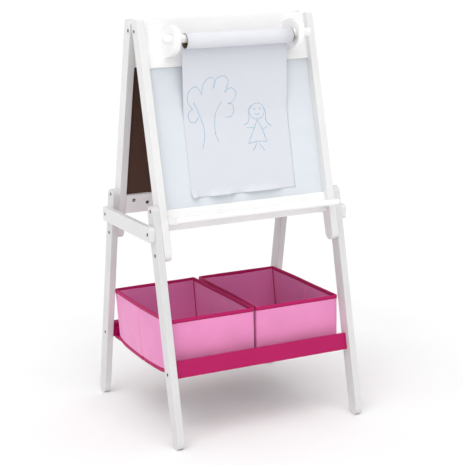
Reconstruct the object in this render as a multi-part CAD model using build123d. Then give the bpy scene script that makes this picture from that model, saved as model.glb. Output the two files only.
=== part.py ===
from build123d import *
import math
import os

# A child's double-sided A-frame easel, in millimetres. +Z is up, +Y is towards the back, and the
# origin is on the floor at the middle. Two leaning frames of posts and rails hold a whiteboard in
# front and a chalkboard behind. Four splayed legs, two side braces and two lower rails carry them.
# The front frame is modelled, and the rear one is its mirror image. "off" means a distance out
# from a leaning member's centre line, away from the middle of the easel.

# ---- driving dimensions ----
LEG_FOOT_Y = 284.64          # where the leg's centre line meets the floor
LEG_LEAN = 11.505            # degrees from the vertical
LEG_OUTER_X = 305.0
POST_FOOT_Y = 307.92         # where the post's centre line would meet the floor
POST_LEAN = 13.443
LEG_TOP_Z = 661.5            # centre of the leg's round upper end
STICK_DEPTH = 42.0           # legs and posts, seen from the side
LEG_THICK = 21.0
POST_THICK = 22.0
EDGE_ROUND = 1.6
POST_TOP_Z = 1190.0
POST_TOP_ROUND = 8.0
UPPER_BOLT_Z = 667.0
LOWER_BOLT_Z = 544.0
POST_END_Z = 546.5           # centre of the post's round lower end

RAIL_THICK = 21.0
TOP_RAIL_TOP_Z = 1192.6      # front upper edge
TOP_RAIL_HEIGHT = 138.0      # measured up the slope
BOTTOM_RAIL_TOP_Z = 666.0
BOTTOM_RAIL_HEIGHT = 59.5
PANEL_THICK = 4.0
PANEL_OFF = -8.0             # outer face of the drawing board
GROOVE_DEPTH = 6.0
GROOVE_PLAY = 0.15

TRAY_NOSE = (-232.5, 650.0)  # y and z of the centre of the front edge's rounding
TRAY_TILT = 11.5             # degrees, front edge high, so that chalk stays on it
TRAY_THICK = 17.0
TRAY_HALF_WIDTH = 261.8

BRACE_THICK = 16.0
BRACE_HEIGHT = 44.0
BRACE_MID_Z = 604.5
BRACE_HALF_LENGTH = 180.0
BRACE_CORNER = 9.0

LOWER_RAIL_THICK = 18.0
LOWER_RAIL_OFF = 4.0         # outer face
LOWER_RAIL_TOP_Z = 245.3
LOWER_RAIL_HEIGHT = 49.0
LOWER_RAIL_BOLT_Z = 211.0
LOWER_RAIL_BOLT_OFF = -3.0
LEDGE_TOP_Z = 200.0
LEDGE_THICK = 9.0
LEDGE_LIP_TOP_Z = 227.0
LEDGE_LIP_THICK = 12.0       # measured along Y
LEDGE_INNER_Y = -178.0
LEDGE_HALF_LENGTH = 276.0

BRACKET_INNER_X = 189.0
BRACKET_THICK = 17.0
DOWEL_Y = -104.0
DOWEL_Z = 1141.0
DOWEL_R = 12.0
DOWEL_LEFT_X = -232.0
DOWEL_RIGHT_X = 238.0
DOWEL_HOLE_R = 12.9
CORE_INNER_R = 19.3
CORE_R = 20.6
ROLL_R = 22.7
TUBE_HANG = 7.0              # how far the tube's centre hangs below the dowel's
CORE_X = (-165.0, 178.0)
PAPER_X = (-164.0, 176.0)
PAPER_THICK = 0.4
PAPER_GAP = 0.3
PAPER_BEND_R = 90.0
PAPER_END_Z = 688.0

BIN_RIM_Z = 357.0
BIN_FLOOR_GAP = 0.3          # above the ledges
BIN_SAG = 13.0
BIN_WALL = 3.0
BIN_BASE_THICK = 2.5
BIN_FRONT_Y = -200.0
BIN_BACK_Y = 206.0
BIN_FLAT_Y = 180.0           # the base hangs in a curve between the two ledges
BIN_SPANS = {"left": (-283.3, -5.0), "right": (3.0, 278.0)}
BIN_BULGE = 9.0
BIN_BULGE_Y = 170.0         # the bulge lies between the front and rear legs

BOLT_R = 3.0
BOLT_HEAD_R = 5.2
BOLT_HEAD_THICK = 2.6
HEAD_RECESS = 3.0            # depth of the counterbore that each head sits in
HEAD_PLAY = 0.5
TOP_RAIL_BOLT_Z = 1161.0
TOP_RAIL_BOLT_OFF = -8.5
BOTTOM_RAIL_BOLT_Z = 646.0
TRAY_SCREW_Z = 632.5         # on the bottom rail's inner face
SOCKET_R = 2.5
SOCKET_DEPTH = 1.7
INSERT_R = 5.0
INSERT_LENGTH = 15.0
NUT_R = 5.5
NUT_LENGTH = 16.5
NUT_INSET = 25.0             # from the rail's end to the cross nut
BOLT_PAST_NUT = 8.0
SCREW_R = 2.0
SCREW_HEAD_R = 4.2
SCREW_HEAD_THICK = 2.6
SCREW_SLOT = 1.0

# ---- values that follow from them ----
LEG_INNER_X = LEG_OUTER_X - LEG_THICK
POST_INNER_X = LEG_INNER_X - POST_THICK
HALF_DEPTH = STICK_DEPTH / 2
TUBE_Z = DOWEL_Z - TUBE_HANG
BRACE_OUTER_X = LEG_OUTER_X + BRACE_THICK
RAIL_MID_OFF = -RAIL_THICK / 2
LOWER_RAIL_INNER_OFF = LOWER_RAIL_OFF - LOWER_RAIL_THICK


def leaning(foot_y, lean):
    """The front frame's section plane: x runs up the slope, y outwards, and z along +X."""
    angle = math.radians(lean)
    return Plane(origin=(0, -foot_y, 0), x_dir=(0, math.sin(angle), math.cos(angle)), z_dir=(1, 0, 0))


POST = leaning(POST_FOOT_Y, POST_LEAN)
LEG = leaning(LEG_FOOT_Y, LEG_LEAN)


def up(plane, z, off=0.0):
    """Distance up a leaning plane to the point at height z and this offset."""
    return (z - off * plane.y_dir.Z) / plane.x_dir.Z


def point_at(plane, z, off=0.0, x=0.0):
    """World point at height z and this offset."""
    return plane.from_local_coords(Vector(up(plane, z, off), off, x))


def y_at(plane, z, off=0.0):
    return point_at(plane, z, off).Y


def board(plane, top_z, height, outer_off, thick, half_width, round_edges=EDGE_ROUND):
    """A rail across the easel, with its four long edges eased."""
    top = up(plane, top_z, outer_off)
    rail = Box(height, thick, 2 * half_width)
    rail = fillet(rail.edges().filter_by(Axis.Z), round_edges)
    return plane * Pos(top - height / 2, outer_off - thick / 2, 0) * rail


def stick(profile, thick, inner_x):
    """A leg or post on the right: its side view given a thickness, with all its edges eased."""
    solid = extrude(profile, thick)
    ends = solid.faces().sort_by(Axis.Z)
    solid = fillet(ends[0].edges() + ends[-1].edges(), EDGE_ROUND)
    return Pos(0, 0, inner_x) * solid


def mirrored(solid, plane):
    return mirror(solid, about=plane)


def four(solid):
    """The four corner copies of one front right fastener."""
    pair = [solid, mirrored(solid, Plane.YZ)]
    return pair + [mirrored(one, Plane.XZ) for one in pair]


def cut(solid, tools):
    for tool in tools:
        solid = solid - tool
    return solid


# ---- fasteners: each is made along Z, with its seat at z = 0 and its head above ----
def bolt(length):
    head = Cylinder(BOLT_HEAD_R, BOLT_HEAD_THICK, align=(Align.CENTER, Align.CENTER, Align.MIN))
    head = fillet(head.edges().sort_by(Axis.Z)[-1], BOLT_HEAD_THICK * 0.55)
    socket_floor = Pos(0, 0, BOLT_HEAD_THICK - SOCKET_DEPTH)
    socket = extrude(socket_floor * RegularPolygon(SOCKET_R, 6), SOCKET_DEPTH)
    shank = Cylinder(BOLT_R, length, align=(Align.CENTER, Align.CENTER, Align.MAX))
    return head - socket + shank


def threaded_insert():
    sleeve = Cylinder(INSERT_R, INSERT_LENGTH, align=(Align.CENTER, Align.CENTER, Align.MAX))
    return sleeve - Cylinder(BOLT_R, 3 * INSERT_LENGTH)


def cross_nut():
    nut = Cylinder(NUT_R, NUT_LENGTH, align=(Align.CENTER, Align.CENTER, Align.MAX))
    slot = Box(2 * NUT_R, SCREW_SLOT, 2 * SCREW_SLOT)
    return nut - slot


def wood_screw(length):
    head = Cone(SCREW_R, SCREW_HEAD_R, SCREW_HEAD_THICK, align=(Align.CENTER, Align.CENTER, Align.MAX))
    shank = Cylinder(SCREW_R, length, align=(Align.CENTER, Align.CENTER, Align.MAX))
    slot = Box(2 * SCREW_HEAD_R, SCREW_SLOT, 2 * SCREW_SLOT)
    other_slot = Rot(0, 0, 90) * slot
    return head + shank - slot - other_slot


def along_x(x, point, fastener):
    """Set a fastener with its head towards +X."""
    return Plane(origin=(x, point.Y, point.Z), x_dir=(0, 1, 0), z_dir=(1, 0, 0)) * fastener


def from_inside(plane, along, off, x, fastener):
    """Set a fastener square to a leaning rail, this far up the slope, with its head inside."""
    origin = plane.from_local_coords(Vector(along, off, x))
    return Plane(origin=origin, x_dir=(1, 0, 0), z_dir=-plane.y_dir) * fastener


def sunk_bolt(face_x, place, length):
    """Four bolts whose heads sit just below the face at this X, and the counterbores for them."""
    one = along_x(face_x - HEAD_RECESS, place, bolt(length - HEAD_RECESS))
    counterbore = Cylinder(BOLT_HEAD_R + HEAD_PLAY, 2 * HEAD_RECESS)
    return four(one), four(along_x(face_x, place, counterbore))


def leg_bolt_set():
    bolts, recesses, inserts = [], [], []
    for z in (UPPER_BOLT_Z, LOWER_BOLT_Z):
        place = point_at(LEG, z)
        four_bolts, four_recesses = sunk_bolt(LEG_OUTER_X, place, LEG_THICK + INSERT_LENGTH)
        bolts += four_bolts
        recesses += four_recesses
        inserts += four(along_x(LEG_INNER_X, place, threaded_insert()))
    return bolts, recesses, inserts


def brace_bolt_set():
    place = point_at(LEG, BRACE_MID_Z)
    bolts, recesses = sunk_bolt(BRACE_OUTER_X, place, BRACE_THICK + INSERT_LENGTH)
    return bolts, recesses, four(along_x(LEG_OUTER_X, place, threaded_insert()))


def rail_bolt_set(plane, z, off, inner_off, face_x, rail_end_x):
    """Bolts along X into a rail's ends, each through a cross nut let into the inner face."""
    nut_x = rail_end_x - NUT_INSET
    bolts, recesses = sunk_bolt(face_x, point_at(plane, z, off), face_x - nut_x + BOLT_PAST_NUT)
    nut = from_inside(plane, up(plane, z, off), inner_off, nut_x, cross_nut()) - bolts[0]
    return bolts, recesses, four(nut)


LEG_BOLTS, LEG_RECESSES, POST_INSERTS = leg_bolt_set()
BRACE_BOLTS, BRACE_RECESSES, LEG_INSERTS = brace_bolt_set()
TOP_RAIL_BOLTS, TOP_RAIL_RECESSES, TOP_RAIL_NUTS = rail_bolt_set(
    POST, TOP_RAIL_BOLT_Z, TOP_RAIL_BOLT_OFF, -RAIL_THICK, LEG_INNER_X, POST_INNER_X)
BOTTOM_RAIL_BOLTS, BOTTOM_RAIL_RECESSES, BOTTOM_RAIL_NUTS = rail_bolt_set(
    POST, BOTTOM_RAIL_BOLT_Z, RAIL_MID_OFF, -RAIL_THICK, LEG_INNER_X, POST_INNER_X)
LOWER_RAIL_BOLTS, LOWER_RAIL_RECESSES, LOWER_RAIL_NUTS = rail_bolt_set(
    LEG, LOWER_RAIL_BOLT_Z, LOWER_RAIL_BOLT_OFF, LOWER_RAIL_INNER_OFF, LEG_OUTER_X, LEG_INNER_X)


def tray_screw_set():
    """Screws through the bottom rails into the trays' back edges, and the counterbores for them."""
    screws, recesses = [], []
    along = up(POST, TRAY_SCREW_Z, -RAIL_THICK)
    for x in (64.0, 192.0):
        screws += four(from_inside(POST, along, -RAIL_THICK + HEAD_RECESS, x, bolt(48.0)))
        counterbore = Cylinder(BOLT_HEAD_R + HEAD_PLAY, 2 * HEAD_RECESS)
        recesses += four(from_inside(POST, along, -RAIL_THICK, x, counterbore))
    return screws, recesses


def bracket_screw_set():
    """Two screws through the top rail into the root of each bracket, at the front only."""
    screws = []
    x = BRACKET_INNER_X + BRACKET_THICK / 2
    for z in (1103.0, 1143.0):
        one = from_inside(POST, up(POST, z, -RAIL_THICK), -RAIL_THICK, x, wood_screw(48.0))
        screws += [one, mirrored(one, Plane.YZ)]
    return screws


def ledge_screw_set():
    """Screws through the ledges' upright lips into the lower rails."""
    screws = []
    off = LOWER_RAIL_INNER_OFF - LEDGE_LIP_THICK * LEG.x_dir.Z
    for x in (80.0, 240.0):
        screws += four(from_inside(LEG, up(LEG, 214.0, off), off, x, wood_screw(26.0)))
    return screws


TRAY_SCREWS, TRAY_RECESSES = tray_screw_set()
BRACKET_SCREWS = bracket_screw_set()
LEDGE_SCREWS = ledge_screw_set()


# ---- wooden members, front right ----
def panel(play=0.0):
    """The drawing board, held in grooves on all four sides; with play, the space cut for it."""
    reach = GROOVE_DEPTH - 0.5 + play
    low = up(POST, BOTTOM_RAIL_TOP_Z) - reach
    high = up(POST, TOP_RAIL_TOP_Z) - TOP_RAIL_HEIGHT + reach
    sheet = Box(high - low, PANEL_THICK + 2 * play, 2 * (POST_INNER_X + reach))
    return POST * Pos((high + low) / 2, PANEL_OFF - PANEL_THICK / 2, 0) * sheet


def front_post():
    low = up(POST, POST_END_Z)
    high = up(POST, POST_TOP_Z)
    shaft = Pos((low + high) / 2, 0) * Rectangle(high - low, STICK_DEPTH)
    shaft = fillet(shaft.vertices().sort_by(Axis.X)[-2:], POST_TOP_ROUND)
    profile = shaft + Pos(low, 0) * Circle(HALF_DEPTH)
    post = POST * stick(profile, POST_THICK, POST_INNER_X)
    post = post - panel(play=GROOVE_PLAY)
    recesses = TOP_RAIL_RECESSES + BOTTOM_RAIL_RECESSES
    return cut(post, recesses + LEG_BOLTS + POST_INSERTS + TOP_RAIL_BOLTS + BOTTOM_RAIL_BOLTS)


def front_leg():
    low = up(LEG, HALF_DEPTH)
    high = up(LEG, LEG_TOP_Z)
    profile = Pos((low + high) / 2, 0) * SlotCenterToCenter(high - low, STICK_DEPTH)
    leg = LEG * stick(profile, LEG_THICK, LEG_INNER_X)
    recesses = LEG_RECESSES + LOWER_RAIL_RECESSES
    return cut(leg, recesses + LEG_BOLTS + BRACE_BOLTS + LEG_INSERTS + LOWER_RAIL_BOLTS)


def top_rail():
    rail = board(POST, TOP_RAIL_TOP_Z, TOP_RAIL_HEIGHT, 0, RAIL_THICK, POST_INNER_X)
    rail = rail - panel(play=GROOVE_PLAY)
    return cut(rail, TOP_RAIL_BOLTS + TOP_RAIL_NUTS)


def bottom_rail():
    rail = board(POST, BOTTOM_RAIL_TOP_Z, BOTTOM_RAIL_HEIGHT, 0, RAIL_THICK, POST_INNER_X)
    rail = rail - panel(play=GROOVE_PLAY)
    return cut(rail, BOTTOM_RAIL_BOLTS + BOTTOM_RAIL_NUTS + TRAY_RECESSES + TRAY_SCREWS)


def tray():
    """A tilted shelf with a rounded front edge, its back edge cut to the rail's slope."""
    tilt = math.radians(TRAY_TILT)
    nose_y, nose_z = TRAY_NOSE
    inward = (0, math.cos(tilt), -math.sin(tilt))
    shelf_plane = Plane(origin=(0, nose_y, nose_z), x_dir=inward, z_dir=(1, 0, 0))
    half = TRAY_THICK / 2

    def back_edge(above):
        lean = math.tan(math.radians(POST_LEAN))
        reach = y_at(POST, nose_z) - nose_y + above * (math.cos(tilt) * lean - math.sin(tilt))
        return reach / (math.cos(tilt) + math.sin(tilt) * lean), above

    outline = Polyline((0, -half), back_edge(-half), back_edge(half), (0, half))
    outline += ThreePointArc((0, half), (-half, 0), (0, -half))
    shelf = shelf_plane * extrude(make_face(outline), TRAY_HALF_WIDTH, both=True)
    return cut(shelf, TRAY_SCREWS)


def side_brace():
    brace = Box(BRACE_THICK, 2 * BRACE_HALF_LENGTH, BRACE_HEIGHT)
    brace = fillet(brace.edges().filter_by(Axis.X), BRACE_CORNER)
    faces = brace.faces().sort_by(Axis.X)
    brace = fillet(faces[0].edges() + faces[-1].edges(), EDGE_ROUND)
    brace = Pos(LEG_OUTER_X + BRACE_THICK / 2, 0, BRACE_MID_Z) * brace
    return cut(brace, BRACE_RECESSES + BRACE_BOLTS)


def lower_rail():
    rail = board(LEG, LOWER_RAIL_TOP_Z, LOWER_RAIL_HEIGHT, LOWER_RAIL_OFF, LOWER_RAIL_THICK, LEG_INNER_X)
    return cut(rail, LOWER_RAIL_BOLTS + LOWER_RAIL_NUTS + LEDGE_SCREWS)


def bin_ledge():
    """A strip behind the lower rail for the bins to stand on, with a lip up the rail's inner face."""
    under_z = LEDGE_TOP_Z - LEDGE_THICK
    rail_y = y_at(LEG, under_z, LOWER_RAIL_INNER_OFF)
    lip_y = y_at(LEG, LEDGE_LIP_TOP_Z, LOWER_RAIL_INNER_OFF)
    section = Polyline(
        (rail_y, under_z),
        (LEDGE_INNER_Y, under_z),
        (LEDGE_INNER_Y, LEDGE_TOP_Z),
        (y_at(LEG, LEDGE_TOP_Z, LOWER_RAIL_INNER_OFF) + LEDGE_LIP_THICK, LEDGE_TOP_Z),
        (lip_y + LEDGE_LIP_THICK, LEDGE_LIP_TOP_Z),
        (lip_y, LEDGE_LIP_TOP_Z),
        close=True,
    )
    ledge = extrude(Plane.YZ * make_face(section), LEDGE_HALF_LENGTH, both=True)
    return cut(ledge, LEDGE_SCREWS)


# ---- paper holder ----
def paper_bracket():
    """A rounded arm on the top rail with a hole for the dowel, on the right."""
    root_top = (y_at(POST, 1168.0), 1168.0)
    root_foot = (y_at(POST, 1083.0), 1083.0)
    nose_top = (-134.0, 1163.0)
    nose_foot = (-131.5, 1128.0)
    outline = (
        Spline(root_top, (-66.0, 1179.5), (-104.0, 1177.0), nose_top)
        + Line(nose_top, nose_foot)
        + Spline(nose_foot, (-123.0, 1111.5), (-99.0, 1096.0), (-67.0, 1087.5), root_foot)
        + Line(root_foot, root_top)
    )
    arm = extrude(Plane.YZ * make_face(outline), BRACKET_THICK)
    sides = arm.faces().filter_by(Axis.X)
    eased = ShapeList(sides[0].edges() + sides[1].edges()).filter_by_position(Axis.Y, -200.0, -56.0)
    arm = fillet(eased, EDGE_ROUND)
    hole = Pos(0, DOWEL_Y, DOWEL_Z + DOWEL_HOLE_R - DOWEL_R - 0.1) * Rot(0, 90, 0)
    arm = arm - hole * Cylinder(DOWEL_HOLE_R, 3 * BRACKET_THICK)
    return cut(Pos(BRACKET_INNER_X, 0, 0) * arm, BRACKET_SCREWS)


def rod(radius, x_from, x_to, y, z):
    return Pos((x_from + x_to) / 2, y, z) * Rot(0, 90, 0) * Cylinder(radius, x_to - x_from)


def paper_dowel():
    dowel = rod(DOWEL_R, DOWEL_LEFT_X, DOWEL_RIGHT_X, DOWEL_Y, DOWEL_Z)
    return chamfer(dowel.edges().filter_by(GeomType.CIRCLE), 1.0)


def tube(outer_r, inner_r, span):
    ring = rod(outer_r, span[0], span[1], DOWEL_Y, TUBE_Z)
    return ring - rod(inner_r, span[0] - 1, span[1] + 1, DOWEL_Y, TUBE_Z)


def paper_sheet():
    """The free paper: it drops from the back of the roll and then lies on the board."""
    y_drop = DOWEL_Y + ROLL_R + PAPER_GAP
    lying_off = PANEL_OFF + PAPER_GAP + PAPER_THICK
    meet_z = (POST_FOOT_Y + y_drop + lying_off / POST.x_dir.Z) / math.tan(math.radians(POST_LEAN))
    end = point_at(POST, PAPER_END_Z, lying_off)
    path = FilletPolyline((y_drop, TUBE_Z), (y_drop, meet_z), (end.Y, end.Z), radius=PAPER_BEND_R)
    face = make_face(offset(path, amount=PAPER_THICK, side=Side.LEFT))
    width = PAPER_X[1] - PAPER_X[0]
    return Pos(PAPER_X[0], 0, 0) * extrude(Plane.YZ * face, width)


# ---- storage bins ----
def bin_block(span, inset, low_z, high_z, bulged):
    """The space inside a bin's outline, drawn in by inset, above a base that hangs in a curve."""
    left, right = span[0] + inset, span[1] - inset
    front, back = BIN_FRONT_Y + inset, BIN_BACK_Y - inset
    bow = BIN_BULGE if bulged else 0.0
    plan = Polyline((left, -BIN_BULGE_Y), (left, front), (right, front), (right, back), (left, back),
                    (left, BIN_BULGE_Y))
    if bow:
        plan += ThreePointArc((left, BIN_BULGE_Y), (left - bow, 0), (left, -BIN_BULGE_Y))
    else:
        plan += Line((left, BIN_BULGE_Y), (left, -BIN_BULGE_Y))
    upright = Pos(0, 0, low_z - BIN_SAG - 1) * extrude(make_face(plan), high_z - low_z + BIN_SAG + 1)
    side = Polyline(
        (BIN_FLAT_Y, low_z),
        (back + 1, low_z),
        (back + 1, high_z + 1),
        (front - 1, high_z + 1),
        (front - 1, low_z),
        (-BIN_FLAT_Y, low_z),
    ) + ThreePointArc((-BIN_FLAT_Y, low_z), (0, low_z - BIN_SAG), (BIN_FLAT_Y, low_z))
    across = extrude(Plane.YZ * make_face(side), 400.0, both=True)
    return upright & across


def storage_bin(name):
    span = BIN_SPANS[name]
    bulged = name == "left"
    low = LEDGE_TOP_Z + BIN_FLOOR_GAP
    outer = bin_block(span, 0.0, low, BIN_RIM_Z, bulged)
    return outer - bin_block(span, BIN_WALL, low + BIN_WALL, BIN_RIM_Z + 5, bulged)


def bin_base(name):
    """The stiff insert that lies on a bin's floor."""
    low = LEDGE_TOP_Z + BIN_FLOOR_GAP + BIN_WALL
    plate = bin_block(BIN_SPANS[name], BIN_WALL + 1.5, low, BIN_RIM_Z, name == "left")
    above = bin_block(BIN_SPANS[name], 0.0, low + BIN_BASE_THICK, BIN_RIM_Z + 5, name == "left")
    return plate - above


# ---- the whole easel ----
def front_and_rear(name, solid):
    return {f"front_{name}": solid, f"rear_{name}": mirrored(solid, Plane.XZ)}


def left_and_right(name, solid):
    return {f"{name}_left": mirrored(solid, Plane.YZ), f"{name}_right": solid}


def wooden_nodes():
    nodes = {}
    for name, solid in left_and_right("post", front_post()).items():
        nodes.update(front_and_rear(name, solid))
    for name, solid in left_and_right("leg", front_leg()).items():
        nodes.update(front_and_rear(name, solid))
    nodes.update(front_and_rear("bottom_rail", bottom_rail()))
    nodes.update(front_and_rear("tray", tray()))
    nodes.update(front_and_rear("lower_rail", lower_rail()))
    nodes.update(front_and_rear("bin_ledge", bin_ledge()))
    nodes.update(left_and_right("side_brace", side_brace()))
    nodes.update(left_and_right("paper_bracket", paper_bracket()))
    plain_top_rail = top_rail()
    nodes["front_top_rail"] = cut(plain_top_rail, BRACKET_SCREWS)
    nodes["rear_top_rail"] = mirrored(plain_top_rail, Plane.XZ)
    nodes["whiteboard_panel"] = panel()
    nodes["chalkboard_panel"] = mirrored(panel(), Plane.XZ)
    return nodes


def paper_nodes():
    return {
        "paper_dowel": paper_dowel(),
        "roll_core": tube(CORE_R, CORE_INNER_R, CORE_X),
        "paper_roll": tube(ROLL_R, CORE_R, PAPER_X),
        "paper_sheet": paper_sheet(),
    }


def bin_nodes():
    nodes = {}
    for name in BIN_SPANS:
        nodes[f"bin_{name}"] = storage_bin(name)
        nodes[f"bin_base_{name}"] = bin_base(name)
    return nodes


def fastener_nodes():
    groups = {
        "leg_bolts": LEG_BOLTS,
        "post_inserts": POST_INSERTS,
        "brace_bolts": BRACE_BOLTS,
        "leg_inserts": LEG_INSERTS,
        "top_rail_bolts": TOP_RAIL_BOLTS,
        "top_rail_nuts": TOP_RAIL_NUTS,
        "bottom_rail_bolts": BOTTOM_RAIL_BOLTS,
        "bottom_rail_nuts": BOTTOM_RAIL_NUTS,
        "lower_rail_bolts": LOWER_RAIL_BOLTS,
        "lower_rail_nuts": LOWER_RAIL_NUTS,
        "tray_screws": TRAY_SCREWS,
        "bracket_screws": BRACKET_SCREWS,
        "ledge_screws": LEDGE_SCREWS,
    }
    return {name: Compound(children=[one.solid() for one in group]) for name, group in groups.items()}


os.makedirs("parts", exist_ok=True)
for maker in (wooden_nodes, paper_nodes, bin_nodes, fastener_nodes):
    for node, shape in maker().items():
        export_step(shape, f"parts/{node}.step")
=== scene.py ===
import math

import bpy
import numpy as np
from mathutils import Matrix, Vector, noise


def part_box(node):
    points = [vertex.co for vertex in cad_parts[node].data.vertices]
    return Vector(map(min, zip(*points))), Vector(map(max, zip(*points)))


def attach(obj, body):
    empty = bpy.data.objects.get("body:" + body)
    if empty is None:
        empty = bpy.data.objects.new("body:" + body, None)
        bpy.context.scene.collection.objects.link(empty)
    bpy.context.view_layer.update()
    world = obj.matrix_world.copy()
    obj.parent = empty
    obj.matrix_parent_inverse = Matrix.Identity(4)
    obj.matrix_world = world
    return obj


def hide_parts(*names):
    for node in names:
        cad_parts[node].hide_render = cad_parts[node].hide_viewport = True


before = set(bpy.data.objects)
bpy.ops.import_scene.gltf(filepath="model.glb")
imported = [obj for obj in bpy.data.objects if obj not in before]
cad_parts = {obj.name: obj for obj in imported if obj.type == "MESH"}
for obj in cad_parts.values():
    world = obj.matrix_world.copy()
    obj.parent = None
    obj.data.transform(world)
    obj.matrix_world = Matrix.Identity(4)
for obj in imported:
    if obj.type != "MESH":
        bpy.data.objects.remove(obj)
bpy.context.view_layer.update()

MM = 0.001
ROOT = "easel_frame"


# ---------------------------------------------------------------- places read from the frame
def big_face(node, outward_y):
    """Centre and unit normal of a node's largest face that looks towards -Y or +Y."""
    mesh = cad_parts[node].data
    facing = [p for p in mesh.polygons if p.normal.y * outward_y > 0.5]
    largest = max(facing, key=lambda p: p.area)
    return largest.center.copy(), largest.normal.copy()


board_point, board_normal = big_face("whiteboard_panel", -1)
board_up = Vector((0, -board_normal.z, board_normal.y))
board_up *= math.copysign(1, board_up.z)
roll_low, roll_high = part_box("paper_roll")
core_low, core_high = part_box("roll_core")
sheet_low, sheet_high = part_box("paper_sheet")
roll_centre = (roll_low + roll_high) / 2
roll_r = (roll_high.z - roll_low.z) / 2
core_r = (core_high.z - core_low.z) / 2


# ---------------------------------------------------------------- node and mesh helpers
class Shader:
    """A material with a Principled surface, and short ways to add nodes to it."""

    def __init__(self, name, **constants):
        self.material = bpy.data.materials.new(name)
        self.material.use_nodes = True
        self.tree = self.material.node_tree
        self.surface = self.tree.nodes["Principled BSDF"]
        for socket, value in constants.items():
            self.surface.inputs[socket.replace("_", " ")].default_value = value

    def add(self, kind, inputs=None, **settings):
        made = self.tree.nodes.new("ShaderNode" + kind)
        for key, value in settings.items():
            setattr(made, key, value)
        for key, value in (inputs or {}).items():
            if isinstance(value, bpy.types.NodeSocket):
                self.tree.links.new(value, made.inputs[key])
            else:
                made.inputs[key].default_value = value
        return made

    def place(self, stretch=(1, 1, 1), source="Object"):
        coordinate = self.add("TexCoord").outputs[source]
        return self.add("Mapping", {"Vector": coordinate, "Scale": stretch}).outputs["Vector"]

    def noise(self, scale, detail=3.0, stretch=(1, 1, 1), roughness=0.5):
        inputs = {"Vector": self.place(stretch), "Scale": scale, "Detail": detail, "Roughness": roughness}
        return self.add("TexNoise", inputs).outputs["Fac"]

    def ramp(self, value, *stops):
        made = self.add("ValToRGB", {"Fac": value})
        elements = made.color_ramp.elements
        while len(elements) < len(stops):
            elements.new(0.5)
        for element, (position, colour) in zip(elements, stops):
            element.position = position
            element.color = (*colour, 1.0)
        return made.outputs["Color"]

    def math(self, operation, first, second=0.0, third=0.0):
        made = self.add("Math", operation=operation)
        for socket, value in zip(made.inputs, (first, second, third)):
            if isinstance(value, bpy.types.NodeSocket):
                self.tree.links.new(value, socket)
            else:
                socket.default_value = value
        return made.outputs["Value"]

    def mix(self, factor, first, second, blend="MIX"):
        made = self.add("Mix", data_type="RGBA", blend_type=blend)
        for socket, value in ((made.inputs[0], factor), (made.inputs[6], first), (made.inputs[7], second)):
            if isinstance(value, bpy.types.NodeSocket):
                self.tree.links.new(value, socket)
            else:
                socket.default_value = (*value, 1.0) if isinstance(value, tuple) else value
        return made.outputs[2]

    def darken(self, colour, amount, value, *stops):
        """A colour multiplied by a ramp over this value, as strongly as amount says."""
        return self.mix(amount, colour, self.ramp(value, *stops), "MULTIPLY")

    def between(self, value, low, high):
        """A value from 0 to 1, as one from low to high."""
        return self.add("MapRange", {"Value": value, "To Min": low, "To Max": high}).outputs["Result"]

    def bump(self, height, strength, distance_mm, under=None):
        inputs = {"Height": height, "Strength": strength, "Distance": distance_mm * MM}
        if under:
            inputs["Normal"] = under
        return self.add("Bump", inputs).outputs["Normal"]

    def wire(self, **outputs):
        for socket, value in outputs.items():
            self.tree.links.new(value, self.surface.inputs[socket.replace("_", " ")])
        return self.material


def linear(channel):
    share = channel / 255
    return ((share + 0.055) / 1.055) ** 2.4 if channel > 10 else share / 12.92


def srgb(red, green, blue):
    """A colour given as 0-255 display values, as the linear values that shaders use."""
    return tuple(linear(channel) for channel in (red, green, blue))


def grey(level):
    return (level, level, level)


def tint(colour, factor):
    return tuple(min(1.0, c * factor) for c in colour)


def new_object(name, vertices, faces, material, body, uv=None, smooth=True):
    mesh = bpy.data.meshes.new(name)
    mesh.from_pydata([tuple(v) for v in vertices], [], faces)
    mesh.validate()
    if uv is not None:
        layer = mesh.uv_layers.new(name="UVMap")
        for loop in mesh.loops:
            layer.data[loop.index].uv = uv[loop.vertex_index]
    if smooth:
        mesh.polygons.foreach_set("use_smooth", [True] * len(mesh.polygons))
    mesh.materials.append(material)
    made = bpy.data.objects.new(name, mesh)
    bpy.context.scene.collection.objects.link(made)
    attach(made, body)
    return made


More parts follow.
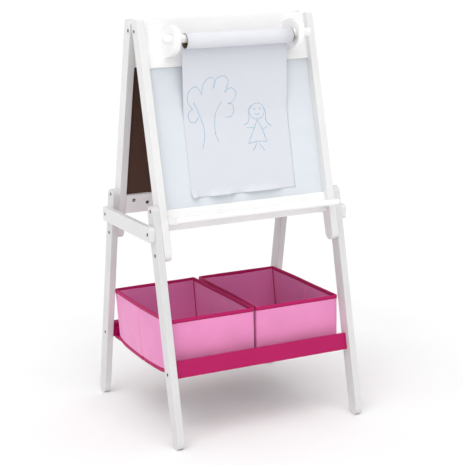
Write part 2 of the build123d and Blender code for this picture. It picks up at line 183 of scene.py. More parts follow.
def slab(name, point, columns, rows, thickness, material, body,
         ring=False, size=(1, 1), back_material=None):
    """A closed sheet: point(u, v) gives its front face, and its back lies thickness behind.

    With ring the columns close on themselves. size is the sheet's width and height for its UVs,
    and the last argument, when given, is another material for its back faces."""
    count = columns if ring else columns + 1
    us = [i / columns for i in range(count)]
    vs = [j / rows for j in range(rows + 1)]
    front = np.array([[point(u, v) for v in vs] for u in us])
    if ring:
        along = np.roll(front, -1, 0) - np.roll(front, 1, 0)
    else:
        along = np.gradient(front, axis=0)
    across = np.gradient(front, axis=1)
    normal = np.cross(along, across)
    normal /= np.linalg.norm(normal, axis=2, keepdims=True)
    back = front - normal * thickness
    vertices = np.concatenate([front.reshape(-1, 3), back.reshape(-1, 3)])
    uv = [(u * size[0], v * size[1]) for u in us for v in vs] * 2
    offset = count * (rows + 1)

    def at(i, j, side):
        return (i % count) * (rows + 1) + j + side * offset

    faces, behind, edges = [], [], []
    for i in range(columns):
        for j in range(rows):
            corners = [(i, j), (i + 1, j), (i + 1, j + 1), (i, j + 1)]
            faces.append([at(*c, 0) for c in corners])
            behind.append([at(*c, 1) for c in reversed(corners)])
        edges.append([at(i + 1, 0, 0), at(i, 0, 0), at(i, 0, 1), at(i + 1, 0, 1)])
        edges.append([at(i, rows, 0), at(i + 1, rows, 0), at(i + 1, rows, 1), at(i, rows, 1)])
    if not ring:
        for j in range(rows):
            edges.append([at(0, j, 0), at(0, j + 1, 0), at(0, j + 1, 1), at(0, j, 1)])
            edges.append([at(columns, j + 1, 0), at(columns, j, 0),
                          at(columns, j, 1), at(columns, j + 1, 1)])
    made = new_object(name, vertices, faces + behind + edges, material, body, uv)
    if back_material:
        made.data.materials.append(back_material)
        for k in range(len(faces), len(faces) + len(behind)):
            made.data.polygons[k].material_index = 1
    return made


def swept(name, centres, section, material, body, closed=False):
    """A strip along a line of frames. centres holds (point, side, up) and section (side, up) offsets."""
    vertices = []
    uv = []
    run = 0.0
    last = None
    for point, side, up in centres:
        run += (point - last).length if last is not None else 0.0
        last = point
        for k, (a, b) in enumerate(section):
            vertices.append(point + side * a + up * b)
            uv.append((run, k / len(section)))
    n, m = len(centres), len(section)
    faces = []
    for i in range(n if closed else n - 1):
        for k in range(m):
            j, after = (i + 1) % n, (k + 1) % m
            faces.append([i * m + k, i * m + after, j * m + after, j * m + k])
    if not closed:
        faces.append(list(range(m)))
        faces.append([(n - 1) * m + k for k in reversed(range(m))])
    return new_object(name, vertices, faces, material, body, uv)


def smooth_step(value):
    value = min(1.0, max(0.0, value))
    return value * value * (3 - 2 * value)


def wobble(x, y, z, size, seed=0.0):
    """Smooth noise from about -1 to 1 with features of this size in metres."""
    return noise.noise(Vector((x / size + seed, y / size - seed, z / size + 2 * seed)))


# ---------------------------------------------------------------- materials
WHITE = srgb(245, 244, 244)
MAGENTA = srgb(174, 8, 88)
PINK = srgb(237, 146, 198)
HARDBOARD = srgb(84, 54, 42)
LATTICE_PITCH = 1.6 * MM             # the cloth's embossing
TAPE_RIB = 0.9 * MM


def paint(name, colour, along, gloss_level=0.5):
    """Sprayed satin paint on wood. along is the grain's axis: 0 for X, 1 for Y, 2 for Z."""
    coat = 0.12 * gloss_level
    made = Shader(name, Coat_Weight=coat, Coat_Roughness=0.25, Specular_IOR_Level=gloss_level)

    def drawn_out(share):
        return tuple(share if axis == along else 1.0 for axis in range(3))

    mottle = made.noise(7.0, 4.0)
    grain = made.noise(260.0, 6.0, drawn_out(0.06), 0.65)
    pores = made.noise(900.0, 2.0, drawn_out(0.3))
    tone = made.ramp(mottle, (0.3, tint(colour, 0.955)), (0.7, tint(colour, 1.01)))
    tone = made.darken(tone, 0.55, grain, (0.35, grey(0.965)), (0.62, grey(1)))
    gloss = made.between(grain, 0.30, 0.46)
    relief = made.bump(grain, 0.20, 0.25)
    relief = made.bump(pores, 0.10, 0.12, relief)
    return made.wire(Base_Color=tone, Roughness=gloss, Normal=relief)


def facing_mask(made, outward_y):
    """1 on faces that look towards -Y or +Y, and 0 on the others."""
    normal = made.add("TexCoord").outputs["Normal"]
    y = made.add("SeparateXYZ", {"Vector": normal}).outputs["Y"]
    return made.math("GREATER_THAN", made.math("MULTIPLY", y, outward_y), 0.5)


def hardboard_tone(made):
    """The boards' brown backs, and the fibres that roughen them."""
    fibres = made.noise(340.0, 6.0, roughness=0.7)
    clouds = made.noise(14.0, 3.0)
    tone = made.ramp(fibres, (0.3, tint(HARDBOARD, 0.62)), (0.7, tint(HARDBOARD, 1.25)))
    return made.darken(tone, 1.0, clouds, (0.3, grey(0.86)), (0.7, grey(1))), fibres


def whiteboard_material():
    made = Shader("whiteboard_face", Coat_Weight=0.35, Coat_Roughness=0.08)
    colour = srgb(216, 222, 227)
    front = facing_mask(made, -1)
    wiped = made.noise(9.0, 5.0, (0.35, 1, 1), 0.6)
    face = made.ramp(wiped, (0.35, tint(colour, 0.97)), (0.6, colour))
    back, fibres = hardboard_tone(made)
    tone = made.mix(front, back, face)
    smear = made.between(wiped, 0.16, 0.30)
    gloss = made.add("Mix", {0: front, 2: 0.75, 3: smear}, data_type="FLOAT").outputs[0]
    relief = made.bump(fibres, 0.15, 0.3)
    return made.wire(Base_Color=tone, Roughness=gloss, Normal=relief)


def chalkboard_material():
    made = Shader("chalkboard_face")
    front = facing_mask(made, 1)
    smears = made.noise(6.0, 6.0, (1, 1, 0.45), 0.62)
    speckle = made.noise(1500.0, 2.0)
    slate = made.ramp(speckle, (0.35, srgb(30, 32, 33)), (0.7, srgb(44, 46, 47)))
    dust = made.ramp(smears, (0.48, grey(0)), (0.80, grey(0.10)))
    face = made.mix(1.0, slate, dust, "ADD")
    back, fibres = hardboard_tone(made)
    tone = made.mix(front, back, face)
    relief = made.bump(speckle, 0.25, 0.10)
    relief = made.bump(fibres, 0.12, 0.25, relief)
    rough = made.between(smears, 0.74, 0.95)
    return made.wire(Base_Color=tone, Roughness=rough, Normal=relief)


def paper_material(name, colour):
    made = Shader(name, Sheen_Weight=0.05)
    fibres = made.noise(420.0, 5.0, roughness=0.65)
    clouds = made.noise(16.0, 4.0)
    tone = made.ramp(clouds, (0.3, tint(colour, 0.985)), (0.7, colour))
    tone = made.darken(tone, 0.6, fibres, (0.3, (0.975, 0.975, 0.98)), (0.7, grey(1)))
    rough = made.between(fibres, 0.72, 0.88)
    return made.wire(Base_Color=tone, Roughness=rough, Normal=made.bump(fibres, 0.12, 0.12))


def card_material(name, colour):
    made = Shader(name)
    fibres = made.noise(300.0, 6.0, (0.25, 1, 1), 0.7)
    tone = made.ramp(fibres, (0.3, tint(colour, 0.75)), (0.7, tint(colour, 1.15)))
    winding = {"Vector": made.place(), "Scale": 9.0, "Distortion": 0.3}
    bands = made.add("TexWave", winding, bands_direction="DIAGONAL").outputs["Fac"]
    tone = made.darken(tone, 0.25, bands, (0.02, grey(0.5)), (0.08, grey(1)))
    rough = made.between(fibres, 0.78, 0.92)
    return made.wire(Base_Color=tone, Roughness=rough, Normal=made.bump(fibres, 0.3, 0.2))


def fabric_material(name, colour, uv=True):
    """Non-woven cloth with a fine embossed lattice, fuzzy and slightly uneven."""
    made = Shader(name, Sheen_Weight=0.25, Sheen_Roughness=0.45)
    scale = math.pi / LATTICE_PITCH
    parts = made.add("SeparateXYZ", {"Vector": made.place(source="UV" if uv else "Object")})

    def lines(combine):
        """Rows of lines on one of the lattice's two slants."""
        slant = made.math(combine, parts.outputs["X"], parts.outputs["Y"])
        return made.math("ABSOLUTE", made.math("SINE", made.math("MULTIPLY", slant, scale)))

    dimples = made.math("MULTIPLY", lines("ADD"), lines("SUBTRACT"))
    fibres = made.noise(700.0, 5.0, roughness=0.7)
    clouds = made.noise(11.0, 4.0)
    tone = made.ramp(clouds, (0.3, tint(colour, 0.94)), (0.7, tint(colour, 1.03)))
    # Darker along the embossed lines: painted shade in the lattice's grooves.
    tone = made.darken(tone, 0.5, dimples, (0.0, (0.82, 0.78, 0.80)), (0.35, grey(1)))
    tone = made.darken(tone, 0.6, fibres, (0.3, (0.88, 0.86, 0.87)), (0.7, grey(1)))
    relief = made.bump(dimples, 0.35, 0.30)
    relief = made.bump(fibres, 0.35, 0.15, relief)
    rough = made.between(fibres, 0.75, 0.95)
    return made.wire(Base_Color=tone, Roughness=rough, Normal=relief)


def binding_material():
    """The ribbed tape that is sewn over the bins' edges."""
    made = Shader("binding_tape", Sheen_Weight=0.08, Sheen_Roughness=0.4, Specular_IOR_Level=0.3)
    colour = srgb(190, 14, 98)
    parts = made.add("SeparateXYZ", {"Vector": made.place(source="UV")})
    wave = made.math("SINE", made.math("MULTIPLY", parts.outputs["X"], math.tau / TAPE_RIB))
    rib = made.math("MULTIPLY_ADD", wave, 0.5, 0.5)
    fibres = made.noise(800.0, 4.0)
    # Darker in the valleys between the ribs: painted shade.
    tone = made.ramp(rib, (0.0, tint(colour, 0.84)), (0.6, colour))
    tone = made.darken(tone, 0.5, fibres, (0.3, grey(0.8)), (0.7, grey(1)))
    rough = made.between(fibres, 0.6, 0.85)
    relief = made.bump(rib, 0.5, 0.15)
    return made.wire(Base_Color=tone, Roughness=rough, Normal=made.bump(fibres, 0.3, 0.1, relief))


def metal_material(name, colour, rough_low, rough_high):
    made = Shader(name, Metallic=1.0)
    scratches = made.noise(600.0, 5.0, (1, 0.2, 1), 0.6)
    patches = made.noise(90.0, 3.0)
    tone = made.ramp(patches, (0.3, tint(colour, 0.8)), (0.7, tint(colour, 1.1)))
    rough = made.between(scratches, rough_low, rough_high)
    return made.wire(Base_Color=tone, Roughness=rough, Normal=made.bump(scratches, 0.15, 0.05))


def crayon_material():
    made = Shader("crayon_line")
    wax = made.noise(1400.0, 3.0)
    tone = made.ramp(wax, (0.3, srgb(58, 140, 176)), (0.62, srgb(112, 172, 198)))
    rough = made.between(wax, 0.5, 0.8)
    return made.wire(Base_Color=tone, Roughness=rough, Normal=made.bump(wax, 0.3, 0.1))


# One white paint covers the whole frame. The posts, legs and braces take darker copies of it: painted
# shade, where less light falls on them.
post_paint_painted_shade = paint("white_paint_sticks_painted_shade", tint(WHITE, 0.86), 2)
leg_paint_painted_shade = paint("white_paint_legs_painted_shade", tint(WHITE, 0.74), 2)
# The brackets take a lighter copy of the same white paint: a painted highlight.
bracket_paint_painted_highlight = paint("white_paint_brackets_painted_highlight", tint(WHITE, 1.04), 2)
white_rail = paint("white_paint_rails", WHITE, 0)
brace_paint_painted_shade = paint("white_paint_braces_painted_shade", tint(WHITE, 0.82), 1)
magenta_rail = paint("magenta_paint", MAGENTA, 0, 0.25)
paper_look = paper_material("drawing_paper", srgb(214, 216, 223))
# The wound roll takes a lighter copy of the sheet's paper: a painted highlight on its top, where the light
# falls.
roll_paper_painted_highlight = paper_material("rolled_paper_painted_highlight", srgb(221, 222, 228))
card_look = card_material("core_card", srgb(120, 104, 74))
pink_cloth = fabric_material("pink_cloth", PINK)
# The bins' inner faces take a darker copy of the pink cloth: painted shade inside the bins.
inner_cloth_painted_shade = fabric_material("inner_cloth_painted_shade", srgb(230, 128, 186))
base_cloth = fabric_material("base_cloth", tint(PINK, 0.9), uv=False)
under_cloth = fabric_material("under_cloth", srgb(208, 206, 206))
binding_tape = binding_material()
bolt_look = metal_material("dark_nickel", srgb(72, 68, 64), 0.34, 0.5)
brass_look = metal_material("plain_brass", srgb(190, 150, 84), 0.25, 0.4)
steel_look = metal_material("dark_zinc", srgb(96, 94, 92), 0.35, 0.5)


LOOKS = [                            # the first of these words that is in a node's name decides
    ("_bolts", bolt_look), ("_inserts", brass_look), ("_nuts", steel_look), ("_screws", steel_look),
    ("whiteboard_panel", whiteboard_material()), ("chalkboard_panel", chalkboard_material()),
    ("roll_core", card_look), ("paper_roll", paper_look), ("paper_sheet", paper_look),
    ("bin_base", base_cloth), ("bin_ledge", magenta_rail), ("lower_rail", magenta_rail),
    ("_leg_", leg_paint_painted_shade), ("bracket", bracket_paint_painted_highlight), ("post", post_paint_painted_shade), ("brace", brace_paint_painted_shade),
]


def look_of(node):
    return next((look for word, look in LOOKS if word in node), white_rail)


for node_name, cad_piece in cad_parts.items():
    cad_piece.data.materials.clear()
    cad_piece.data.materials.append(look_of(node_name))


# ---------------------------------------------------------------- paper
PAPER_LEFT, PAPER_RIGHT = sheet_low.x, sheet_high.x
PAPER_TOP_Z = sheet_high.z
DROP_Y = sheet_high.y - 0.3 * MM     # where the sheet hangs straight down from the roll
BEND_R = 90 * MM                     # of the bend from there to the board's slant
LIFT = 0.6 * MM                      # paper surface above the board
DRIFT = -4 * MM                      # the foot of the sheet hangs a little to the left
DRIFT_START = 150 * MM               # and begins to do so this far down the sheet


def paper_path():
    """The sheet's side view, as (length down the sheet, point, outward normal) samples."""
    down = -board_up
    lean = math.acos(-board_normal.y)
    meet = board_point + board_normal * LIFT
    t = (DROP_Y - meet.y) / board_up.y
    corner_z = meet.z + board_up.z * t
    tangent = BEND_R * math.tan(lean / 2)
    end_length = (corner_z - sheet_low.z) / board_up.z
    straight = PAPER_TOP_Z - corner_z - tangent
    samples = []
    for k in range(20):
        s = straight * k / 20
        samples.append((s, Vector((0, DROP_Y, PAPER_TOP_Z - s)), Vector((0, -1, 0))))
    centre = Vector((0, DROP_Y - BEND_R, corner_z + tangent))
    for k in range(12):
        angle = lean * k / 12
        radial = Vector((0, math.cos(angle), -math.sin(angle)))
        samples.append((straight + BEND_R * angle, centre + radial * BEND_R, -radial))
    start = Vector((0, DROP_Y, corner_z)) + down * tangent
    rest = end_length - tangent
    for k in range(25):
        s = rest * k / 24
        samples.append((straight + BEND_R * lean + s, start + down * s, board_normal.copy()))
    return samples


PATH = paper_path()
PAPER_LENGTH = PATH[-1][0]
PATH_S = np.array([p[0] for p in PATH])
PATH_Y = np.array([p[1].y for p in PATH])
PATH_Z = np.array([p[1].z for p in PATH])
PATH_NY = np.array([p[2].y for p in PATH])
PATH_NZ = np.array([p[2].z for p in PATH])

FOOT_CURLS = [                       # mm: centre across the sheet, half width, height, length up it
    (4, 24, 10, 30),
    (98, 50, 13, 26),
    (232, 72, 12, 26),
]


def paper_lift(across, down):
    """How far the sheet stands off its path: shallow waves, and a curled foot."""
    free = smooth_step(down / 0.05) * (0.35 + 0.65 * smooth_step((0.27 - down) / 0.12))
    waves = (0.9 + 0.9 * wobble(across * 0.8, 0, down * 0.5, 0.12, 3.1)) * MM
    lift = free * waves
    for curl in FOOT_CURLS:
        centre, half, height, length = (value * MM for value in curl)
        along = 1 - smooth_step((abs(across - centre) / half - 0.45) / 0.55)
        foot = max(0.0, (down - (PAPER_LENGTH - length)) / length)
        lift += along * foot * foot * height
    return lift


def on_paper(across, down, above=0.0):
    """A point of the sheet, across from its left edge and down from the roll, in metres."""
    y, z = np.interp(down, PATH_S, PATH_Y), np.interp(down, PATH_S, PATH_Z)
    normal = Vector((0, np.interp(down, PATH_S, PATH_NY), np.interp(down, PATH_S, PATH_NZ)))
    drift = DRIFT * smooth_step((down - DRIFT_START) / (PAPER_LENGTH - DRIFT_START))
    x = PAPER_LEFT + across + drift
    return Vector((x, y, z)) + normal * (paper_lift(across, down) + above)


def make_sheet():
    width = PAPER_RIGHT - PAPER_LEFT
    sheet = slab(
        "drawing_sheet",
        lambda u, v: on_paper(u * width, (1 - v) * PAPER_LENGTH),
        68, 96, 0.25 * MM, paper_look, ROOT, size=(width, PAPER_LENGTH),
    )
    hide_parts("paper_sheet")


def make_roll():
    """The wound paper: a spiral strip whose outer turn ends where the sheet leaves."""
    turns = 6
    pitch = (roll_r - core_r) / turns

    def spiral(u, v):
        angle = u * turns * math.tau
        r = core_r + 0.05 * MM + pitch * u * (turns - 0.35)
        slip = 0.6 * MM * wobble(math.cos(angle), math.sin(angle), u * 3, 0.8)
        x = roll_low.x + slip + v * (roll_high.x - roll_low.x - 1.2 * MM)
        return Vector((x, roll_centre.y + r * math.cos(angle), roll_centre.z + r * math.sin(angle)))

    # The roll gets the lighter copy of the sheet's paper: painted highlight.
    roll = slab("wound_paper", spiral, 64 * turns, 6, 0.22 * MM, roll_paper_painted_highlight, "paper_roll",
                size=(0.8, roll_high.x - roll_low.x))
    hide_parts("paper_roll")


make_sheet()
make_roll()


# ---------------------------------------------------------------- the child's drawing
def curve_points(points, per_span=10):
    """A smooth line through given points (Catmull-Rom)."""
    points = [Vector(p) for p in points]
    padded = [2 * points[0] - points[1]] + points + [2 * points[-1] - points[-2]]
    line = []
    for k in range(1, len(padded) - 2):
        a, b, c, d = padded[k - 1:k + 3]
        for step in range(per_span):
            t = step / per_span
            line.append(0.5 * (2 * b + (c - a) * t + (2 * a - 5 * b + 4 * c - d) * t ** 2
                               + (3 * b - a - 3 * c + d) * t ** 3))
    return line + [points[-1]]


def arc_points(centre, radius, start, end, squash=1.0, steps=14):
    """Part of an oval, by angles in degrees."""
    made = []
    for k in range(steps + 1):
        angle = math.radians(start + (end - start) * k / steps)
        made.append((centre[0] + radius * math.cos(angle), centre[1] - squash * radius * math.sin(angle)))
    return made


def drawing(name, strokes, width=1.7 * MM, thick=0.12 * MM):
    """Crayon strokes on the sheet. Strokes are in millimetres across and down the sheet."""
    vertices, faces = [], []
    for points in strokes:
        line = [Vector((p[0], p[1])) * MM for p in points]
        base = len(vertices)
        for k, here in enumerate(line):
            ahead = line[min(k + 1, len(line) - 1)] - line[max(k - 1, 0)]
            side = Vector((-ahead.y, ahead.x)).normalized()
            half = width / 2 * (0.75 + 0.35 * wobble(here.x, here.y, 0, 0.012, 1.7))
            half *= 0.45 if k in (0, len(line) - 1) else 1.0
            for sign, above in ((-1, 0.0), (1, 0.0), (1, thick), (-1, thick)):
                edge = here + side * (sign * half)
                vertices.append(on_paper(edge.x, edge.y, above))
        for k in range(len(line) - 1):
            for c in range(4):
                d = (c + 1) % 4
                first, second = base + 4 * k, base + 4 * (k + 1)
                faces.append([first + c, first + d, second + d, second + c])
        last = base + 4 * (len(line) - 1)
        faces.append([base + 3, base + 2, base + 1, base])
        faces.append([last, last + 1, last + 2, last + 3])
    new_object(name, vertices, faces, crayon_material(), ROOT, smooth=False)


def make_drawings():
    tree = [
        curve_points([(33, 178), (47, 206), (60, 246), (61, 280), (51, 314)]),
        curve_points([(123, 180), (104, 212), (97, 246), (97, 276), (106, 298)]),
        curve_points([(30, 200), (14, 174), (19, 146), (42, 134), (60, 156)]),
        curve_points([(58, 160), (66, 126), (88, 110), (102, 122), (98, 142)]),
        curve_points([(94, 144), (106, 116), (130, 108), (145, 124), (134, 158)]),
        curve_points([(132, 154), (154, 144), (170, 160), (160, 182), (144, 190)]),
        curve_points([(142, 188), (158, 194), (162, 214), (150, 228), (134, 228)]),
        curve_points([(30, 196), (16, 210), (20, 232), (36, 236), (47, 222)]),
    ]
    head = arc_points((237, 218), 25, 0, 360, 0.94, 28)
    figure = [
        head,
        arc_points((230, 212), 2.4, 0, 360, 1.0, 8),
        arc_points((248, 211), 2.4, 0, 360, 1.0, 8),
        arc_points((238, 221), 9, 200, 340, 0.8),
        curve_points([(222, 202), (210, 212), (210, 236), (204, 250), (190, 256)]),
        curve_points([(258, 206), (266, 224), (264, 244), (272, 258), (282, 266)]),
        curve_points([(236, 243), (219, 276), (200, 311)], 6),
        curve_points([(236, 243), (250, 274), (261, 310)], 6),
        curve_points([(200, 311), (232, 307), (261, 310)], 6),
        curve_points([(224, 268), (210, 264), (197, 265)], 5),
        curve_points([(248, 274), (258, 270), (268, 265)], 5),
        curve_points([(227, 311), (220, 324), (210, 334)], 5),
        curve_points([(234, 312), (243, 325), (252, 336)], 5),
    ]
    drawing("drawn_tree", tree)
    drawing("drawn_figure", figure)


make_drawings()


# ---------------------------------------------------------------- storage bins
BIN_WALL = 3.2 * MM
CORNER_R = 5 * MM
CORNER_STEPS = 4
SIDE_STEPS = 40
LEG_GAP = 172 * MM                   # half the room between the front and rear legs
LEDGE_Y = 180 * MM                   # where the ledges' inner edges are
FLAT_ABOVE_LOW = 13 * MM             # the ledges' tops stand this far above the bin's lowest point
FOOT_SAG = 13 * MM                   # between the ledges
FOOT_LEAN = 22 * MM                  # the back wall leans in this far at its foot
FOOT_NARROWING = 3 * MM              # and the left bin's outer wall this far
PARTING = 4 * MM                     # neighbouring walls each draw back this far at their back ends
END_BOW = 2 * MM                     # of the front and back walls
FOLD_DEPTH = 3.4 * MM                # where the side walls fold flat
FOLD_WIDTH = 3.5 * MM
RIPPLE = 0.9 * MM
RIM_DIP = 1.2 * MM
RIM_TAPE = 10 * MM
HEM_TAPE = 11 * MM


class Bin:
    """One bin's fabric. Its outline is a rounded rectangle, and its side walls bow out or in."""

    def __init__(self, side, bow_left, bow_right, left_inset, seed):
        self.node = f"bin_{side}"
        self.body = f"{side}_bin"
        self.low, self.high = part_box(self.node)
        self.left = self.low.x + left_inset
        self.right = self.high.x
        self.bow_left, self.bow_right = bow_left, bow_right
        self.seed = seed
        self.flat_z = self.low.z + FLAT_ABOVE_LOW
        self.round = np.array(self.outline()).T
        self.length = self.round[0][-1]

    def outline(self):
        """(distance round, x, y, nx, ny) samples, from the front left corner along the front."""
        left, right = self.left, self.right
        front, back = self.low.y, self.high.y
        r = CORNER_R
        samples = []
        run = 0.0
        spots = [
            ((left + r, front), (right - r, front), (0, -1), (right - r, front + r), -90),
            ((right, front + r), (right, back - r), (1, 0), (right - r, back - r), 0),
            ((right - r, back), (left + r, back), (0, 1), (left + r, back - r), 90),
            ((left, back - r), (left, front + r), (-1, 0), (left + r, front + r), 180),
        ]
        for start, end, normal, centre, angle in spots:
            start, end = Vector(start), Vector(end)
            for k in range(SIDE_STEPS):
                p = start.lerp(end, k / SIDE_STEPS)
                samples.append((run + (p - start).length, p.x, p.y, *normal))
            run += (end - start).length
            quarter = r * math.radians(90)
            for k in range(CORNER_STEPS):
                turn = math.radians(angle + 90 * k / CORNER_STEPS)
                nx, ny = math.cos(turn), math.sin(turn)
                s = run + quarter * k / CORNER_STEPS
                samples.append((s, centre[0] + r * nx, centre[1] + r * ny, nx, ny))
            run += quarter
        samples.append((run, *samples[0][1:]))
        return samples

    def swell(self, x, y, nx, height):
        """How far a wall point moves out. height is 0 at the hem and 1 at the rim."""
        middle_y = (self.low.y + self.high.y) / 2
        level = math.sin(math.pi * (0.12 + 0.82 * height))
        out = 0.0
        if abs(nx) > 0.7:
            bow = self.bow_left if nx < 0 else self.bow_right
            between = min(1.0, abs(y - middle_y) / LEG_GAP)
            shape = 0.6 * (1 - between ** 2) ** 1.3 + 0.4 * (1 - between)
            out += bow * shape * (0.3 + 0.7 * level)
            fold = math.exp(-((y - middle_y) / FOLD_WIDTH) ** 2)
            out -= FOLD_DEPTH * fold * (1 - 0.8 * smooth_step((height - 0.80) / 0.15))
        else:
            middle_x = (self.left + self.right) / 2
            s = (x - middle_x) / ((self.right - self.left) / 2)
            out += END_BOW * (1 - s * s) * level
        spot = (x, y, height * 0.16)
        ripple = wobble(*spot, 0.07, self.seed) + 0.4 * wobble(*spot, 0.025, self.seed)
        return out + RIPPLE * ripple * level

    def hem_z(self, y):
        """The foot rests on the ledges at both ends and hangs in between."""
        return self.flat_z - FOOT_SAG * (1 - min(1.0, abs(y) / LEDGE_Y) ** 9)

    def backness(self, y):
        """0 at the bin's front and 1 at its back."""
        return (y - self.low.y) / (self.high.y - self.low.y)

    def lean(self, y, v):
        """The bin is shorter at its foot: its back wall leans in."""
        return -FOOT_LEAN * (1 - v) * smooth_step(self.backness(y) / 0.45)

    def pinch(self, x, y, v):
        """The neighbouring walls draw apart towards the back, and the left bin narrows at its foot."""
        along = (x - self.left) / (self.right - self.left)
        if self.node == "bin_left":
            return FOOT_NARROWING * (1 - along) * (1 - v) - PARTING * self.backness(y) * along
        return PARTING * self.backness(y) * (1 - along)

    def rim_z(self, x, y):
        dip = RIM_DIP * (1 + wobble(x, y, 0, 0.16, self.seed + 5))
        return self.high.z - dip

    def wall(self, u, v, out=0.0):
        """A point of the outer face; u runs round, v from the hem to the rim."""
        s = u * self.length
        x, y, nx, ny = (float(np.interp(s, self.round[0], column)) for column in self.round[1:])
        length = math.hypot(nx, ny)
        nx, ny = nx / length, ny / length
        foot = self.hem_z(y + self.lean(y, 0))
        z = foot + v * (self.rim_z(x, y) - foot)
        move = self.swell(x, y, nx, v) + out
        return Vector((x + nx * move + self.pinch(x, y, v), y + ny * move + self.lean(y, v), z))

    def rim_frames(self, columns=240):
        """Frames round the bin's rim: (point, outward side, up)."""
        frames = []
        for i in range(columns):
            before, here, after = (self.wall((i + step) / columns % 1, 1.0) for step in (-0.5, 0, 0.5))
            along = (after - before).normalized()
            side = along.cross(Vector((0, 0, 1))).normalized()
            frames.append((here, side, side.cross(along).normalized()))
        return frames

    def build(self):
        self.walls()
        self.bottom()
        self.rim_binding()
        self.hem_binding()
        self.corner_binding()

    def walls(self):
        size = (self.length, self.high.z - self.low.z)
        # The inner faces get the darker copy of the cloth: painted shade.
        walls = slab(f"{self.node}_walls", self.wall, 480, 24, BIN_WALL, pink_cloth,
                     self.body, ring=True, size=size, back_material=inner_cloth_painted_shade)
        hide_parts(self.node)

    def bottom(self):
        """The sewn-in bottom and the stiff base that lies on it."""
        def level(inset, above):
            def point(u, v):
                x = self.left + inset + u * (self.right - self.left - 2 * inset)
                y = self.low.y + inset + v * (self.high.y - FOOT_LEAN - self.low.y - 2 * inset)
                return Vector((x + self.pinch(x, y, 0), y, self.hem_z(y) + above))
            return point

        slab(f"{self.node}_bottom", level(1.5 * MM, 2.9 * MM), 30, 60, 2.6 * MM, under_cloth,
             self.body)
        base = slab(f"{self.node}_base", level(6 * MM, 5.8 * MM), 30, 60, 2.4 * MM, base_cloth,
                    self.body)
        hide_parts(self.node.replace("bin_", "bin_base_"))

    def rim_binding(self):
        """Tape folded over the rim, inside and out."""
        t = 1.0 * MM
        w = BIN_WALL
        h = RIM_TAPE
        section = [
            (t, -h), (t, -h * 0.45), (t, -1 * MM), (0, 0.6 * MM), (-w / 2, 1.1 * MM), (-w, 0.6 * MM),
            (-w - t, -1 * MM), (-w - t, -h * 0.45), (-w - t, -h), (-w, -h), (-w, -1.5 * MM),
            (0, -1.5 * MM), (0, -h),
        ]
        swept(f"{self.node}_rim_tape", self.rim_frames(), section, binding_tape,
              self.body, closed=True)

    def hem_binding(self):
        """A flat band sewn round the foot of the walls."""
        share = HEM_TAPE / (self.high.z - self.flat_z)

        def band(u, v):
            return self.wall(u, share * (v - 0.04), 1.3 * MM)

        slab(f"{self.node}_hem_tape", band, 480, 3, 1.2 * MM, binding_tape, self.body,
             ring=True, size=(self.length, HEM_TAPE))

    def corner_binding(self):
        """Narrow tape down the inside of the four corners."""
        t = 1.2 * MM
        section = [(t, -t), (t, t), (-t, t), (-t, -t)]
        inset = BIN_WALL + 1.0 * MM
        for k, (x, y, sx, sy) in enumerate([
            (self.left, self.low.y, 1, 1), (self.right, self.low.y, -1, 1),
            (self.right, self.high.y, -1, -1), (self.left, self.high.y, 1, -1),
        ]):
            frames = []
            for step in range(13):
                z = self.flat_z + 4 * MM + (self.high.z - 6 * MM - self.flat_z) * step / 12
                v = (z - self.flat_z) / (self.high.z - self.flat_z)
                spot = Vector((x + sx * inset + self.pinch(x, y, v), y + sy * inset + self.lean(y, v), z))
                frames.append((spot, Vector((1, 0, 0)), Vector((0, 1, 0))))
            swept(f"{self.node}_corner_{k}", frames, section, binding_tape, self.body)


Bin("left", bow_left=11 * MM, bow_right=2 * MM, left_inset=11.5 * MM, seed=0.3).build()
Bin("right", bow_left=-5 * MM, bow_right=2 * MM, left_inset=0, seed=4.1).build()


# ---------------------------------------------------------------- floor, light and camera
FLOOR_REACH = 90.0
HORIZON_TOP = 0.17                   # the surround is white up to here, as the sine of the elevation
CEILING_FOOT = 0.40                  # and has its overhead tone from here up

CAMERA_PLACE = (-1.77035, -3.58906, 1.46042)
CAMERA_YAW = 0.4645                  # radians, from +Y towards +X
CAMERA_PITCH = 0.2257                # down from level
CAMERA_ROLL = -0.0163
CAMERA_LENS = 104.94                 # mm, as is the sensor's width
SENSOR_WIDTH = 36.0


def make_floor():
    made = Shader("studio_floor", Roughness=0.9, Specular_IOR_Level=0.1)
    made.wire(Base_Color=made.ramp(made.noise(3.0), (0.3, grey(0.90)), (0.7, grey(0.92))))
    mesh = bpy.data.meshes.new("floor")
    corners = [(x * FLOOR_REACH, y * FLOOR_REACH, 0) for x, y in ((-1, -1), (1, -1), (1, 1), (-1, 1))]
    mesh.from_pydata(corners, [], [(0, 1, 2, 3)])
    mesh.materials.append(made.material)
    floor = bpy.data.objects.new("floor", mesh)
    bpy.context.scene.collection.objects.link(floor)


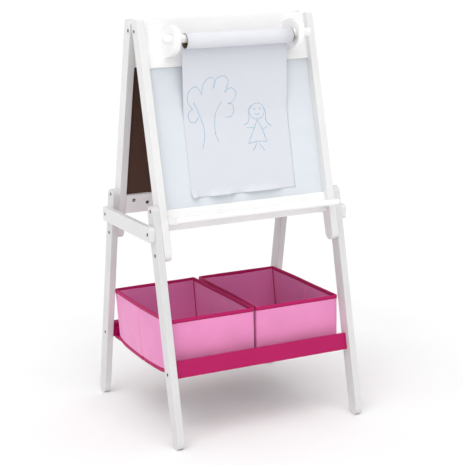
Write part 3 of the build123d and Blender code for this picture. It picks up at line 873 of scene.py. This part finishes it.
def make_world(overhead):
    """A white surround near the horizon that fades to a dimmer ceiling."""
    world = bpy.data.worlds.new("studio")
    world.use_nodes = True
    tree = world.node_tree
    direction = tree.nodes.new("ShaderNodeTexCoord")
    parts = tree.nodes.new("ShaderNodeSeparateXYZ")
    fade = tree.nodes.new("ShaderNodeValToRGB")
    stops = ((HORIZON_TOP, 1), (CEILING_FOOT, overhead))
    for element, (position, level) in zip(fade.color_ramp.elements, stops):
        element.position = position
        element.color = (*grey(level), 1)
    tree.links.new(direction.outputs["Generated"], parts.inputs["Vector"])
    tree.links.new(parts.outputs["Z"], fade.inputs["Fac"])
    tree.links.new(fade.outputs["Color"], tree.nodes["Background"].inputs["Color"])
    bpy.context.scene.world = world


def wide_sun(name, toward, spread, strength):
    """An even light from a large patch of sky, so that the whole floor is equally bright."""
    data = bpy.data.lights.new(name, "SUN")
    data.angle = math.radians(spread)
    data.energy = strength
    light = bpy.data.objects.new(name, data)
    light.rotation_mode = "QUATERNION"
    light.rotation_quaternion = Vector(toward).to_track_quat("Z", "Y")
    bpy.context.scene.collection.objects.link(light)


def make_camera():
    """A long lens low on the left, looking a little down, with a slight roll."""
    ahead = Vector((math.sin(CAMERA_YAW), math.cos(CAMERA_YAW), 0))
    forward = ahead * math.cos(CAMERA_PITCH) - Vector((0, 0, math.sin(CAMERA_PITCH)))
    level = Vector((math.cos(CAMERA_YAW), -math.sin(CAMERA_YAW), 0))
    upright = level.cross(forward)
    right = level * math.cos(CAMERA_ROLL) + upright * math.sin(CAMERA_ROLL)
    up = upright * math.cos(CAMERA_ROLL) - level * math.sin(CAMERA_ROLL)
    data = bpy.data.cameras.new("camera")
    data.sensor_width = SENSOR_WIDTH
    data.lens = CAMERA_LENS
    camera = bpy.data.objects.new("camera", data)
    turn = Matrix((right, up, -forward)).transposed().to_4x4()
    camera.matrix_world = Matrix.Translation(CAMERA_PLACE) @ turn
    bpy.context.scene.collection.objects.link(camera)
    bpy.context.scene.camera = camera


make_floor()
make_world(0.16)
wide_sun("key", (-0.35, -0.75, 0.9), 70, 1.5)
wide_sun("fill", (-0.9, -0.15, 0.8), 70, 0.40)
wide_sun("top", (0.05, 0.05, 1.0), 90, 1.5)
make_camera()
bpy.context.scene.view_settings.view_transform = "Standard"
